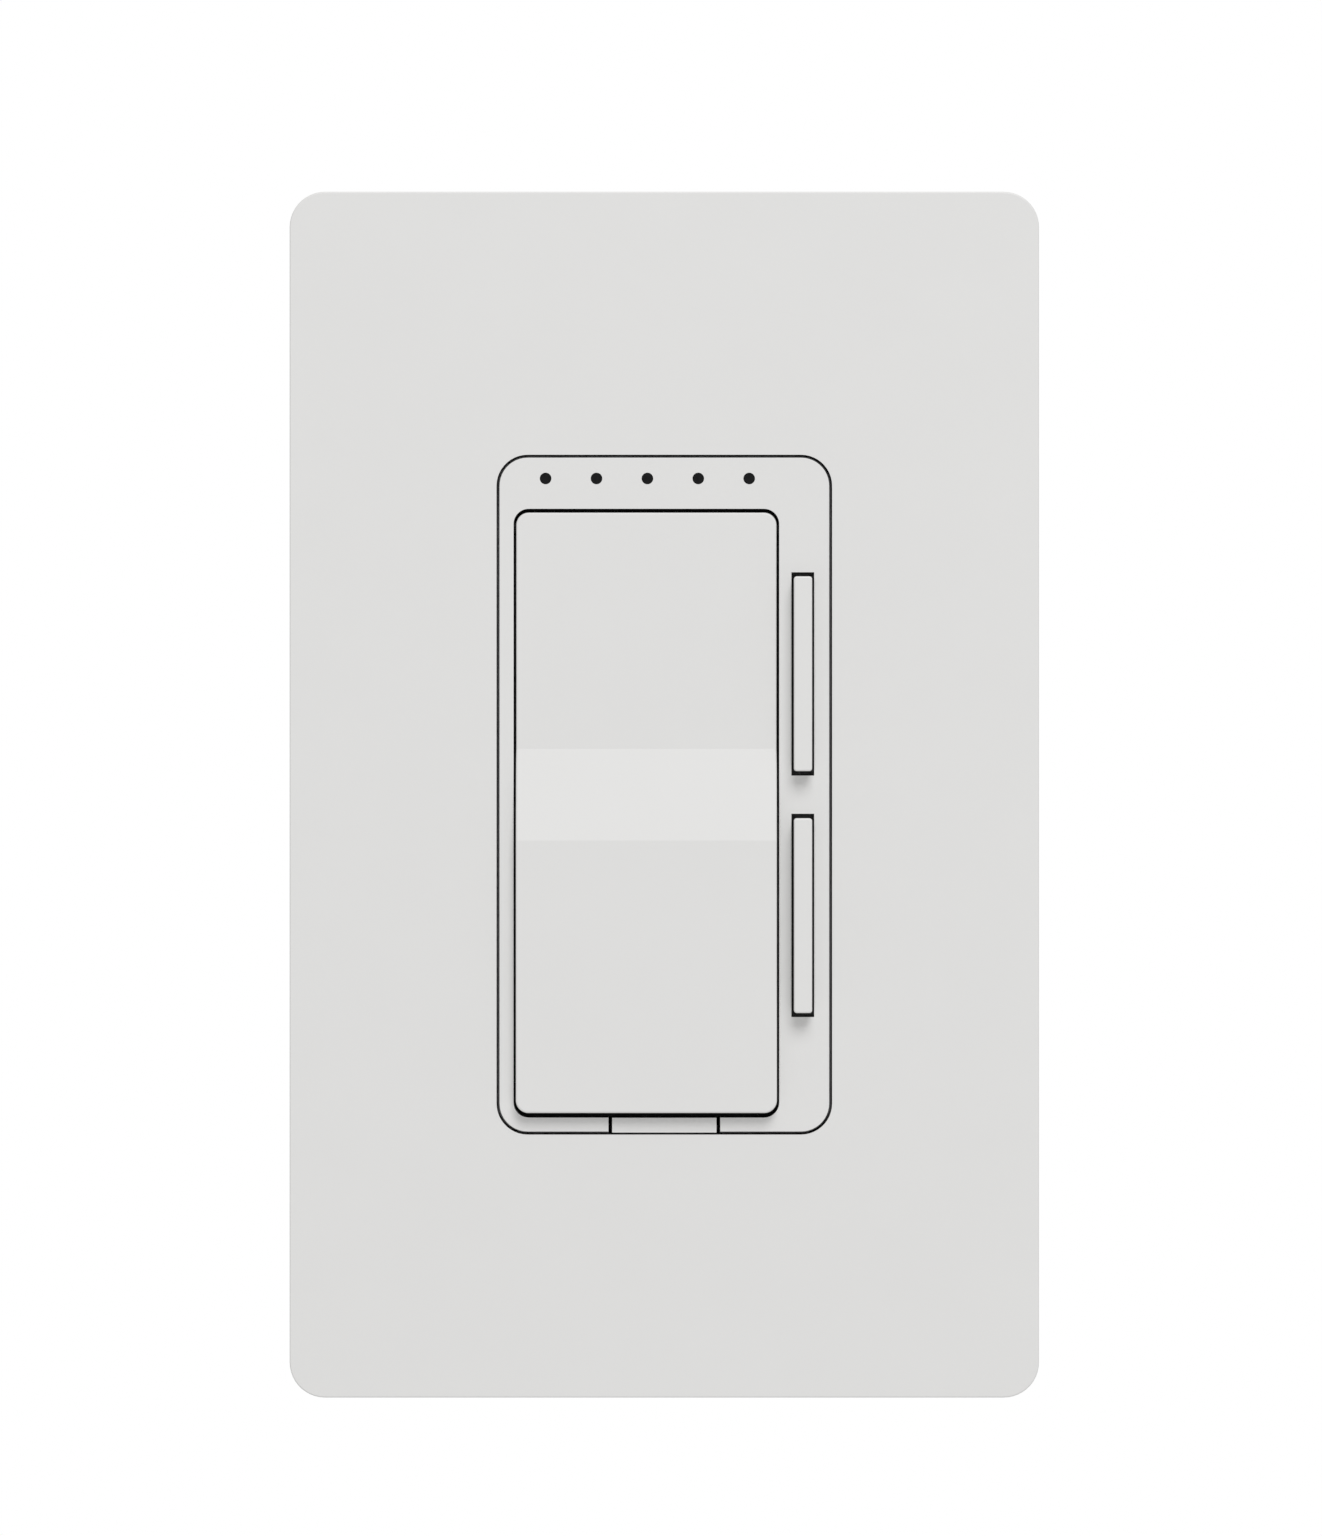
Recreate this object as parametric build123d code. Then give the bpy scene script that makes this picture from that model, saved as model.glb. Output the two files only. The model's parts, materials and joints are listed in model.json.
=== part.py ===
from build123d import *
import os

# A dimmer switch in a screwless wall plate: a paddle, two press bars and an air-gap tab in a bezel,
# with the strap, boards and rear housing behind them.
# Millimetres. +X is right, +Z is up and +Y goes into the wall.
# The origin is on the wall's surface, midway between the two box screws.

# Wall plate
plate_width = 74.2
plate_end_border = 26.325    # above and below the bezel
plate_corner = 3.5
plate_wall = 2.0
plate_side_wall = 1.8
plate_edge_round = 0.15
face_depth = 7.0            # from the wall to the flush front face
frame_thickness = 2.0       # the rear frame that the cover snaps on to
frame_gap = 0.3             # between the frame's edge and the cover's inside
frame_rim = 1.4             # a rim along the back of the frame's edge
frame_rim_gap = 0.3         # between that rim and the wall
rib_width = 1.2
rib_gap = 0.1               # between the cover's ribs and the frame
clip_width = 8.0
clip_gap = 0.1              # between a clip and the cover's inside wall

# Bezel
bezel_width = 32.67
bezel_height = 66.75
bezel_corner = 2.8
bezel_gap = 0.28            # to the plate's opening, all round
bezel_wall = 1.6
carrier_thickness = 1.6      # the black plate between the bezel and the strap
carrier_inset = 0.3
left_cheek = 1.41           # beside the paddle's hole
right_cheek = 1.5           # outside the bar slots
web = 1.215                 # between the paddle's hole and the bar slots
top_strip = 5.07            # above the paddle's hole
bottom_strip = 1.4          # below the paddle's hole
hole_corner = 1.5
edge_round = 0.08

# Paddle
paddle_side_gap = 0.24
paddle_top_gap = 0.36
paddle_bottom_gap = 0.5
paddle_step = 1.6           # how far the lower half stands out
ramp_height = 9.06
paddle_wall = 1.6
paddle_side_wall = 1.4
paddle_corner = 1.25
paddle_edge_round = 0.2
paddle_travel = 0.72        # at the bottom edge
paddle_floor_clearance = 0.3
trunnion_radius = 0.6
trunnion_length = 0.75
trunnion_gap = 0.05         # radial
trunnion_end_gap = 0.15
trunnion_drop = 1.4         # below the paddle's top edge
trunnion_depth = 2.0        # behind the flush face
post_radius = 1.2
contact_gap = 0.02          # between a presser and what it presses

# Press bars
bar_width = 1.79
bar_length = 19.25
bar_proud = 2.2
bar_side_gap = 0.23
bar_end_gap = 0.44
bar_slot_spacing = 3.78     # between the two slots
bar_corner = 0.27
bar_edge_round = 0.18
bar_flange = 0.4            # beyond the slot on each side
bar_flange_thickness = 1.1
bar_flange_gap = 0.04       # behind the bezel's front wall
bar_cavity_gap = 0.2        # round the flange
stem_radius = 0.9
stem_gap = 0.3
bar_travel = 0.5

# Hooks that hold the bezel to the strap
hook_z = 27.0
hook_width = 0.9
hook_height = 3.0
hook_barb = 0.45
hook_gap = 0.15
hook_flex = 0.6             # room for a hook to bend inwards
hook_reach = 1.3            # behind the strap

# Springs
spring_wire = 0.3
paddle_spring_radius = 2.2
paddle_spring_turns = 4
bar_spring_radius = 0.75
bar_spring_turns = 4
bar_spring_offset = 6.0     # from the bar's centre
spring_end_gap = 0.05

# Lamps and light pipe
lamp_count = 5
lamp_pitch = 5.04
lamp_row_shift = 0.1        # right of the paddle's centre line
tip_radius = 0.545
tip_gap = 0.03
lamp_row_drop = 2.07        # from the bezel's top edge to the row
pipe_height = 1.6
pipe_thickness = 1.2
pipe_leg_radius = 0.7
pipe_gap = 0.2
lamp_size = 1.4
lamp_depth = 1.0
lamp_gap = 0.1

# Air-gap switch
tab_width = 10.33
tab_side_gap = 0.37
tab_thickness = 1.46
tab_overhang = 0.08         # below the bezel's bottom edge
tab_length = 12.0
grip_depth = (1.2, 2.0)     # of the groove under the tab, behind the face
grip_height = 0.8
bridge_thickness = 0.7
contact_width = 3.2
contact_thickness = 0.5
contact_spacing = 6.0

# Mounting strap
strap_thickness = 1.6
strap_width = 44.4
strap_end_border = 2.625    # beyond the bezel's ends
ear_width = 22.0
ear_end_border = 4.575      # beyond the plate screws
ear_corner = 3.0
fin_width = 7.6
fin_height = 26.0
fin_spacing = 34.0          # between the centres of the upper and lower fins
fin_hole_radius = 1.6
score_depth = 0.6
score_width = 0.5

# Screws
box_screw_offset = 8.295    # beyond the bezel's ends
plate_screw_offset = 15.05  # beyond the bezel's ends
thread_radius = 1.75
neck_radius = 1.3
screw_clearance = 0.03
box_head_radius = 3.4
box_head_height = 1.8
box_screw_reach = 24.0
box_slot_width = 4.0
box_slot_length = 6.6
retainer_size = 8.0
retainer_thickness = 0.4
thread_start_gap = 0.05
tip_chamfer = 0.5
plate_head_radius = 3.4
plate_screw_reach = 4.0
head_clearance = 0.6
small_screw_radius = 1.25
small_head_radius = 2.3
small_head_height = 1.2
drive_width = 0.8
drive_depth = 0.6

# Rear housing
housing_width = 44.4
housing_end_inset = 0.7     # inside the strap's ends
housing_depth = 28.0
housing_wall = 1.6
housing_corner = 2.0
housing_gap = 0.05          # behind the strap
housing_edge_round = 1.0
panel_depth = 0.4           # of the shallow recess in the back
panel_margin = 3.0
vent_count = 6
vent_width = 1.3
vent_pitch = 3.6
vent_length = 11.0
vent_front = 9.0
boss_radius = 2.6
boss_depth = 12.0
boss_inset = 2.8            # from the housing's outside to a boss's centre

# Terminals
terminal_z = 14.0
pocket_height = 10.0
pocket_depth = 7.2          # inwards from the housing's side
pocket_front = 8.0
terminal_front = 9.0
terminal_length = 9.0
terminal_height = 8.0
terminal_thickness = 0.9
clamp_thickness = 1.0
wire_space = 1.7
terminal_head_radius = 3.4
terminal_head_height = 1.8
tang_height = 3.0
tang_thickness = 0.9
tang_gap = 0.1

# Ground lug
lug_inset = 1.6             # from the strap's side edge
lug_height = 9.0
lug_length = 11.0
lug_recess_gap = 2.0
ground_head_radius = 3.5
ground_head_height = 1.8
ground_screw_length = 4.4
screw_end_gap = 0.8

# Boards
control_board_front = 2.0
board_thickness = 1.2
board_gap = 0.5
rear_room = 3.2             # behind the power board
barrier_front = 5.9
barrier_thickness = 0.4
board_post_radius = 1.5
board_post_x = 17.6
board_post_z = 18.0

# Tact switches
tact_size = 4.5
tact_height = 1.5
plunger_radius = 1.0
plunger_gap = 0.05
plunger_proud = 1.1
plunger_depth = 0.7         # inside the switch's body
plunger_room = 0.1          # behind the plunger when it is pressed
paddle_switch_z = -14.0
paddle_rib_offset = 5.0     # above and below the paddle's post
paddle_rib_gap = 0.5        # from a rib to the paddle's back
window_gap = 0.8

# Triac
triac_x = -7.6
triac_z = 14.0
triac_width = 10.0
triac_body_height = 9.0
triac_tab_height = 6.0
triac_body_thickness = 4.4
triac_tab_thickness = 1.3
insulator_thickness = 0.2
insulator_margin = 0.8
triac_lead_pitch = 2.54
triac_lead_width = 0.8

# Power parts
choke_radius = 7.5
choke_hole_radius = 3.8
choke_height = 6.0
choke_z = 13.0
choke_turns = 14
winding_wire = 0.9
winding_gap = 0.05
capacitor_size = (13.0, 10.0, 6.5)
bulk_radius = 4.5
bulk_front_gap = 3.7        # from the barrier to the can's top
varistor_radius = 5.0
varistor_thickness = 4.0
fuse_radius = 1.7
fuse_length = 12.0
resistor_radius = 1.1
resistor_length = 5.6
resistor_pitch = 3.2
lead_radius = 0.4
cap_length = 1.4            # of a resistor's end caps
fuse_cap_length = 2.5
part_inset = 9.0            # from the housing's inside end to the varistor and fuse
fuse_left = 2.0
bulk_inset = 2.5            # from the housing's inside end to the can
part_x_offset = 6.0         # inwards from the board posts
filter_x = -1.0
header_pin_count = 6
header_pitch = 2.0
header_pin = 0.6
header_x = 16.5
header_height = 2.5
chip_size = 7.0
chip_thickness = 1.0
chip_standoff = 0.1
chip_place = (5.0, -6.0)    # from the paddle's centre line
chip_leg_count = 8          # along each side
chip_leg_pitch = 0.8
chip_leg_size = (0.35, 0.5, 1.2)

# Depths, from the wall's surface outwards
strap_front = -strap_thickness
frame_front = strap_front - frame_thickness
face = -face_depth
plate_inside = face + plate_wall
bezel_inside = face + bezel_wall
floor_front = strap_front - carrier_thickness
paddle_front = face - paddle_step
bar_front = face - bar_proud

# Heights that follow the bezel: a standard device has its screws 83.34 and 96.85 apart
plate_height = bezel_height + 2 * plate_end_border
strap_height = bezel_height + 2 * strap_end_border
box_screw_spacing = bezel_height + 2 * box_screw_offset
plate_screw_spacing = bezel_height + 2 * plate_screw_offset
ear_height = plate_screw_spacing + 2 * ear_end_border
housing_height = strap_height - 2 * housing_end_inset

# The plate's opening follows the bezel
opening_width = bezel_width + 2 * bezel_gap
opening_height = bezel_height + 2 * bezel_gap
opening_corner = bezel_corner + bezel_gap
inside_width = plate_width - 2 * plate_side_wall
inside_height = plate_height - 2 * plate_side_wall
frame_width = inside_width - 2 * frame_gap
frame_height = inside_height - 2 * frame_gap

# Bar slots, measured in from the bezel's right edge
slot_width = bar_width + 2 * bar_side_gap
slot_length = bar_length + 2 * bar_end_gap
slot_right = bezel_width / 2 - right_cheek
slot_left = slot_right - slot_width
bar_x = (slot_left + slot_right) / 2
bar_z = (bar_slot_spacing + slot_length) / 2
flange_width = slot_width + 2 * bar_flange
flange_length = slot_length + 2 * bar_flange
flange_front = bezel_inside + bar_flange_gap
flange_back = flange_front + bar_flange_thickness

# The paddle's hole fills what the cheeks, web and strips leave
hole_left = -bezel_width / 2 + left_cheek
hole_right = slot_left - web
hole_top = bezel_height / 2 - top_strip
hole_bottom = -bezel_height / 2 + bottom_strip
hole_width = hole_right - hole_left
hole_height = hole_top - hole_bottom
hole_x = (hole_left + hole_right) / 2
hook_x = (bezel_width - min(left_cheek, right_cheek)) / 2
hole_z = (hole_top + hole_bottom) / 2

paddle_left = hole_left + paddle_side_gap
paddle_right = hole_right - paddle_side_gap
paddle_top = hole_top - paddle_top_gap
paddle_bottom = hole_bottom + paddle_bottom_gap
paddle_x = hole_x
paddle_back = floor_front - paddle_travel - paddle_floor_clearance
trunnion_y = face + trunnion_depth
trunnion_z = paddle_top - trunnion_drop

# Lamps sit over the paddle
lamp_z = bezel_height / 2 - lamp_row_drop
lamp_row_x = paddle_x + lamp_row_shift
lamp_xs = [lamp_row_x + (i - (lamp_count - 1) / 2) * lamp_pitch for i in range(lamp_count)]
pipe_length = (lamp_count - 1) * lamp_pitch + pipe_height + 1.0
lamp_front = control_board_front - lamp_depth

# Air-gap tab
tab_bottom = -bezel_height / 2 - tab_overhang
tab_top = tab_bottom + tab_thickness
tab_z = (tab_bottom + tab_top) / 2
bridge_front = face + tab_length
contact_front = bridge_front + bridge_thickness + contact_gap

# Tact switches and what presses them
plunger_front = control_board_front - tact_height - plunger_proud
plunger_back = control_board_front - tact_height + plunger_depth
presser_end = plunger_front - contact_gap
plunger_window = plunger_radius + window_gap

# Triac, whose tab carries its screw
triac_bottom = triac_z - (triac_body_height + triac_tab_height) / 2
triac_split_z = triac_bottom + triac_body_height
triac_hole_z = triac_split_z + triac_tab_height / 2

# Housing, whose back wall places the power board
housing_x = housing_width / 2
housing_z = housing_height / 2
inner_x = housing_x - housing_wall
inner_z = housing_z - housing_wall
back_wall_front = housing_depth - housing_wall
boss_x = housing_x - boss_inset
boss_z = housing_z - boss_inset
pocket_x = housing_x - pocket_depth
terminal_x = pocket_x + terminal_thickness
clamp_x = terminal_x + wire_space
power_board_front = back_wall_front - rear_room - board_thickness
board_back = power_board_front + board_thickness
bulk_height = power_board_front - barrier_front - barrier_thickness - bulk_front_gap
lug_x = -strap_width / 2 + lug_inset
lug_recess_height = lug_height + 2 * lug_recess_gap
lug_recess_depth = lug_length + lug_recess_gap
lug_recess_x = lug_x + ground_screw_length + screw_end_gap

corner_signs = [(-1, -1), (-1, 1), (1, -1), (1, 1)]


def block(x, y, z):
    """A box between a pair of limits on each axis."""
    limits = (x, y, z)
    size = [high - low for low, high in limits]
    centre = [(low + high) / 2 for low, high in limits]
    return Pos(*centre) * Box(*size)


def centred(x, width, y, z, height):
    """A box about x and z, between two depths."""
    return block((x - width / 2, x + width / 2), y, (z - height / 2, z + height / 2))


def facing(x, y, z):
    """A plane at a point, whose normal points into the wall."""
    return Plane((x, y, z), x_dir=(1, 0, 0), z_dir=(0, 1, 0))


def slab(width, height, corner, y, x=0, z=0):
    """A plate with rounded corners, between two depths."""
    outline = facing(x, y[0], z) * RectangleRounded(width, height, corner)
    return extrude(outline, amount=y[1] - y[0])


def rod(radius, y, x=0, z=0):
    """A round rod along Y, between two depths."""
    return extrude(facing(x, y[0], z) * Circle(radius), amount=y[1] - y[0])


def side_rod(radius, x, y, z):
    """A round rod along X, between two places."""
    end = Plane((x[0], y, z), x_dir=(0, 1, 0), z_dir=(1, 0, 0))
    return extrude(end * Circle(radius), amount=x[1] - x[0])


def tapered_rod(front_radius, back_radius, y, x, z):
    """A cone along Y, between two depths."""
    depth = y[1] - y[0]
    cone = Cone(front_radius, back_radius, depth)
    return Pos(x, (y[0] + y[1]) / 2, z) * Rot(-90, 0, 0) * cone


def coil(mean_radius, turns, y, x, z):
    """A compression spring along Y, whose wire stays between two depths."""
    rise = y[1] - y[0] - spring_wire
    path = Helix(pitch=rise / turns, height=rise, radius=mean_radius)
    section = Plane(origin=path @ 0, z_dir=path % 0) * Circle(spring_wire / 2)
    spring = sweep(section, path=path, is_frenet=True)
    return Pos(x, y[0] + spring_wire / 2, z) * Rot(-90, 0, 0) * spring


def edges_at(solid, y):
    """The edges that lie wholly at one depth."""
    return solid.edges().filter_by_position(Axis.Y, y - 0.001, y + 0.001)


def slotted(head, y, x, z, width):
    """Cut a straight driver slot into the front of a screw's head."""
    return head - centred(x, width, (y, y + drive_depth), z, drive_width)


# Wall plate

def wallplate_cover():
    """The snap-on front: a shallow tray with ribs that rest on the rear frame."""
    cover = slab(plate_width, plate_height, plate_corner, (face, 0))
    cover = fillet(edges_at(cover, face), plate_edge_round)
    inside_corner = plate_corner - plate_side_wall
    cover -= slab(inside_width, inside_height, inside_corner, (plate_inside, 1))
    cover -= slab(opening_width, opening_height, opening_corner, (face - 1, plate_inside + 1))
    for side in (-1, 1):
        rib_x = side * (opening_width / 2 + 3 * rib_width)
        cover += centred(rib_x, rib_width, (plate_inside, frame_front - rib_gap), 0, opening_height)
        rib_z = side * (opening_height / 2 + 3 * rib_width)
        cover += centred(0, opening_width, (plate_inside, frame_front - rib_gap), rib_z, rib_width)
    return cover


def frame_stiffening():
    """A rim round the frame's back, with ribs across its ends and along its sides."""
    y = (strap_front - 0.1, -frame_rim_gap)
    rim = slab(frame_width, frame_height, plate_corner - plate_side_wall, y)
    rim -= slab(frame_width - 2 * frame_rim, frame_height - 2 * frame_rim, 1, (y[0] - 1, y[1] + 1))
    for side in (-1, 1):
        rib_z = side * (ear_height / 2 + 2 * rib_width)
        rim += centred(0, frame_width - frame_rim, y, rib_z, rib_width)
        rib_x = side * (strap_width / 2 + fin_width + rib_width)
        rim += centred(rib_x, rib_width, y, 0, frame_height - frame_rim)
    return rim


def wallplate_frame():
    """The frame that is screwed to the strap, with clips along its edge for the cover."""
    frame = slab(frame_width, frame_height, plate_corner - plate_side_wall, (frame_front, strap_front))
    frame -= slab(opening_width, opening_height, opening_corner, (frame_front - 1, strap_front + 1))
    frame += frame_stiffening()
    clip_y = (frame_front, strap_front + frame_thickness / 2)
    for x_sign, z_sign in corner_signs:
        clip = (frame_width / 2 - 1, inside_width / 2 - clip_gap)
        clip_z = z_sign * frame_height / 4
        frame += centred(x_sign * sum(clip) / 2, clip[1] - clip[0], clip_y, clip_z, clip_width)
        clip = (frame_height / 2 - 1, inside_height / 2 - clip_gap)
        clip_x = x_sign * frame_width / 4
        frame += centred(clip_x, clip_width, clip_y, z_sign * sum(clip) / 2, clip[1] - clip[0])
        frame -= rod(small_head_radius + head_clearance, (frame_front - 1, strap_front + 1),
                     x_sign * boss_x, z_sign * boss_z)
    for side in (-1, 1):
        frame -= rod(box_head_radius + head_clearance, (frame_front - 1, strap_front + 1),
                     0, side * box_screw_spacing / 2)
        screw_z = side * plate_screw_spacing / 2
        frame -= rod(thread_radius + screw_clearance, (frame_front - 1, strap_front + 1), 0, screw_z)
        sink = tapered_rod(plate_head_radius + screw_clearance, thread_radius + screw_clearance,
                           (frame_front, strap_front), 0, screw_z)
        frame -= sink
    return frame


def wallplate_screws():
    """Two countersunk screws through the frame into the strap."""
    screws = []
    for side in (-1, 1):
        z = side * plate_screw_spacing / 2
        screw = tapered_rod(plate_head_radius, thread_radius, (frame_front, strap_front), 0, z)
        screw += rod(thread_radius, (strap_front, plate_screw_reach), 0, z)
        screws.append(slotted(screw, frame_front, 0, z, 2 * plate_head_radius + 1))
    return screws


# Mounting strap and its screws

def ears():
    """The tall middle of the strap, which reaches over the ends of the wall box."""
    return slab(ear_width, ear_height, ear_corner, (strap_front, 0))


def break_off_fin(x_sign, z_sign):
    """A side fin with a grooved line along which it snaps off."""
    inner = strap_width / 2 - 1
    x = x_sign * (inner + fin_width / 2)
    z = z_sign * fin_spacing / 2
    fin = slab(fin_width, fin_height, 1, (strap_front, 0), x, z)
    groove_x = x_sign * (strap_width / 2 + score_width)
    fin -= centred(groove_x, score_width, (-score_depth, 1), z, fin_height + 1)
    return fin - rod(fin_hole_radius, (strap_front - 1, 1), x_sign * (inner + fin_width * 0.6), z)


def ground_lug():
    """A tab of the strap, folded back beside the housing."""
    return block((lug_x, lug_x + strap_thickness), (-strap_thickness, lug_length),
                 (-lug_height / 2, lug_height / 2))


def hook_windows(y):
    """The holes for the bezel's hooks, with room on the inner side for a hook to bend."""
    windows = []
    for x_sign, z_sign in corner_signs:
        outer = hook_x + hook_width / 2 + hook_gap
        inner = hook_x - hook_width / 2 - hook_flex
        z = (z_sign * hook_z - hook_height / 2 - hook_gap, z_sign * hook_z + hook_height / 2 + hook_gap)
        windows.append(block(tuple(sorted((x_sign * inner, x_sign * outer))), y, z))
    return windows


def strap_windows():
    """The holes that let the lamps' light, the pressers and the clips through the strap."""
    through = (strap_front - 1, 1)
    windows = [centred(lamp_row_x, pipe_length + 2 * pipe_gap, through, lamp_z, pipe_height + 2 * pipe_gap)]
    windows.append(rod(plunger_window, through, paddle_x, paddle_switch_z))
    for side in (-1, 1):
        windows.append(rod(plunger_window, through, bar_x, side * bar_z))
    windows.append(centred(0, tab_width + 2 * tab_side_gap, through, tab_z, tab_thickness + 2 * tab_side_gap))
    return windows + hook_windows(through)


def mounting_strap():
    """The aluminium yoke, which is also the triac's heat sink."""
    strap = slab(strap_width, strap_height, 1.5, (strap_front, 0)) + ears()
    for x_sign, z_sign in corner_signs:
        strap += break_off_fin(x_sign, z_sign)
        strap -= rod(small_screw_radius + screw_clearance, (strap_front - 1, 1),
                     x_sign * boss_x, z_sign * boss_z)
    strap += ground_lug()
    strap -= side_rod(thread_radius + screw_clearance, (lug_x - 1, lug_x + strap_thickness + 1),
                      lug_length * 0.6, 0)
    for window in strap_windows():
        strap -= window
    for side in (-1, 1):
        slot = facing(0, strap_front - 1, side * box_screw_spacing / 2)
        slot *= SlotOverall(box_slot_length, box_slot_width)
        strap -= extrude(slot, amount=strap_thickness + 2)
        strap -= rod(thread_radius + screw_clearance, (strap_front - 1, 1), 0,
                     side * plate_screw_spacing / 2)
    strap -= rod(small_screw_radius + screw_clearance, (strap_front - 1, 1), triac_x, triac_hole_z)
    return strap


def box_screws():
    """Two long screws into the wall box, with a thin neck that the retainers hold."""
    thread_start = retainer_thickness + thread_start_gap
    screws = []
    for side in (-1, 1):
        z = side * box_screw_spacing / 2
        head = rod(box_head_radius, (strap_front - box_head_height, strap_front), 0, z)
        head = fillet(edges_at(head, strap_front - box_head_height), 0.6)
        head = slotted(head, strap_front - box_head_height, 0, z, 2 * box_head_radius + 1)
        screw = head + rod(neck_radius, (strap_front, thread_start), 0, z)
        screw += rod(thread_radius, (thread_start, box_screw_reach - tip_chamfer), 0, z)
        screw += tapered_rod(thread_radius, thread_radius - tip_chamfer,
                             (box_screw_reach - tip_chamfer, box_screw_reach), 0, z)
        screws.append(screw)
    return screws


def screw_retainers():
    """Two fibre squares behind the ears, which keep the box screws from falling out."""
    retainers = []
    for side in (-1, 1):
        z = side * box_screw_spacing / 2
        square = centred(0, retainer_size, (0, retainer_thickness), z, retainer_size)
        retainers.append(square - rod(neck_radius + screw_clearance, (-1, 1), 0, z))
    return retainers


def ground_screw():
    """The green screw through the folded lug."""
    y = lug_length * 0.6
    head = side_rod(ground_head_radius, (lug_x - ground_head_height, lug_x), y, 0)
    head -= block((lug_x - ground_head_height - 1, lug_x - ground_head_height + drive_depth),
                  (y - ground_head_radius, y + ground_head_radius), (-drive_width / 2, drive_width / 2))
    return head + side_rod(thread_radius, (lug_x, lug_x + ground_screw_length), y, 0)


# Bezel, paddle and bars

def hook(x_sign, z_sign):
    """A leg of the bezel that passes through the carrier, with a barb behind the strap."""
    x, z = x_sign * hook_x, z_sign * hook_z
    stem = centred(x, hook_width, (floor_front - 0.5, hook_reach), z, hook_height)
    barb_x = x + x_sign * (hook_width + hook_barb) / 2
    return stem + centred(barb_x, hook_barb, (hook_gap, hook_reach), z, hook_height)


def bar_pocket(side):
    """What a bar needs: a slot, a cavity for its flange and holes for its stem and springs."""
    z = side * bar_z
    cavity_width = flange_width + 2 * bar_cavity_gap
    cavity_height = flange_length + 2 * bar_cavity_gap
    pocket = centred(bar_x, slot_width, (face - 1, bezel_inside), z, slot_length)
    pocket += centred(bar_x, cavity_width, (bezel_inside, floor_front), z, cavity_height)
    pocket += rod(stem_radius + stem_gap, (floor_front - 0.1, 1), bar_x, z)
    for end in (-1, 1):
        spring_hole = bar_spring_radius + spring_wire / 2 + stem_gap
        pocket += rod(spring_hole, (floor_front - 0.1, 1), bar_x, z + end * bar_spring_offset)
    return pocket


def light_pocket():
    """The space behind the top strip for the light pipe, with one hole for each tip."""
    width = pipe_length + 2 * pipe_gap
    pocket = centred(lamp_row_x, width, (bezel_inside, 1), lamp_z, pipe_height + 2 * pipe_gap)
    for x in lamp_xs:
        pocket += rod(tip_radius + tip_gap, (face - 1, bezel_inside + 0.1), x, lamp_z)
    return pocket


def tab_notch():
    """The way out for the air-gap tab, open at the bezel's bottom edge."""
    half = tab_width / 2 + tab_side_gap
    return block((-half, half), (face - 1, 1), (-bezel_height / 2 - 1, hole_bottom))


def bezel():
    """The device's front frame, whose hooks hold the carrier against the strap."""
    frame = slab(bezel_width, bezel_height, bezel_corner, (face, floor_front))
    frame = fillet(edges_at(frame, face), edge_round)
    frame -= slab(hole_width, hole_height, hole_corner, (face - 1, floor_front + 1), hole_x, hole_z)
    for side in (-1, 1):
        frame -= bar_pocket(side)
        x = paddle_x + side * (hole_width / 2 - 1)
        depth = trunnion_length + trunnion_end_gap - paddle_side_gap + 1
        socket = tuple(sorted((x, x + side * depth)))
        frame -= side_rod(trunnion_radius + trunnion_gap, socket, trunnion_y, trunnion_z)
    frame -= light_pocket()
    frame -= tab_notch()
    for x_sign, z_sign in corner_signs:
        frame += hook(x_sign, z_sign)
    return frame


def button_carrier():
    """The black plate behind the paddle and bars, with holes for their pressers and springs."""
    carrier = slab(bezel_width - 2 * carrier_inset, bezel_height - 2 * carrier_inset,
                   bezel_corner - carrier_inset, (floor_front, strap_front))
    for side in (-1, 1):
        carrier -= bar_pocket(side)
    carrier -= light_pocket()
    carrier -= tab_notch()
    carrier -= rod(post_radius + window_gap, (floor_front - 1, 1), paddle_x, paddle_switch_z)
    for window in hook_windows((floor_front - 1, 1)):
        carrier -= window
    return carrier


def paddle_profile(setback):
    """The paddle's side outline: flush above, a ramp, then a raised lower half."""
    ramp_top, ramp_bottom = ramp_height / 2, -ramp_height / 2
    return [(face + setback, ramp_top), (paddle_front + setback, ramp_bottom)]


def paddle_solid(setback, inset, back):
    """The paddle's form, set back from its face and in from its sides."""
    (top_y, ramp_top), (low_y, ramp_bottom) = paddle_profile(setback)
    top, bottom = paddle_top - inset, paddle_bottom + inset
    outline = Polyline((paddle_left + inset, top_y, top), (paddle_left + inset, top_y, ramp_top),
                       (paddle_left + inset, low_y, ramp_bottom), (paddle_left + inset, low_y, bottom),
                       (paddle_left + inset, back, bottom), (paddle_left + inset, back, top), close=True)
    width = paddle_right - paddle_left - 2 * inset
    return extrude(make_face(outline), amount=width, dir=(1, 0, 0))


def paddle():
    """The rocking shell, with trunnions at its top, a post for its switch and stiffening ribs."""
    shell = paddle_solid(0, 0, paddle_back)
    corners = shell.edges().filter_by(Axis.Y)
    shell = fillet(corners, paddle_corner)
    rim = [edge for edge in shell.edges() if is_front_rim(edge)]
    shell = fillet(rim, paddle_edge_round)
    shell -= paddle_solid(paddle_wall, paddle_side_wall, 1)
    for side in (-1, 1):
        x = paddle_x + side * (hole_width / 2 - paddle_side_gap)
        ends = (x - side * paddle_side_wall / 2, x + side * trunnion_length)
        shell += side_rod(trunnion_radius, (min(ends), max(ends)), trunnion_y, trunnion_z)
    post_root = paddle_front + paddle_wall / 2
    shell += rod(post_radius, (post_root, presser_end), paddle_x, paddle_switch_z)
    inner_width = paddle_right - paddle_left - paddle_side_wall
    for side in (-1, 1):
        rib_z = paddle_switch_z + side * paddle_rib_offset
        shell += centred(paddle_x, inner_width, (post_root, paddle_back - paddle_rib_gap), rib_z, rib_width)
    return shell


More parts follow.
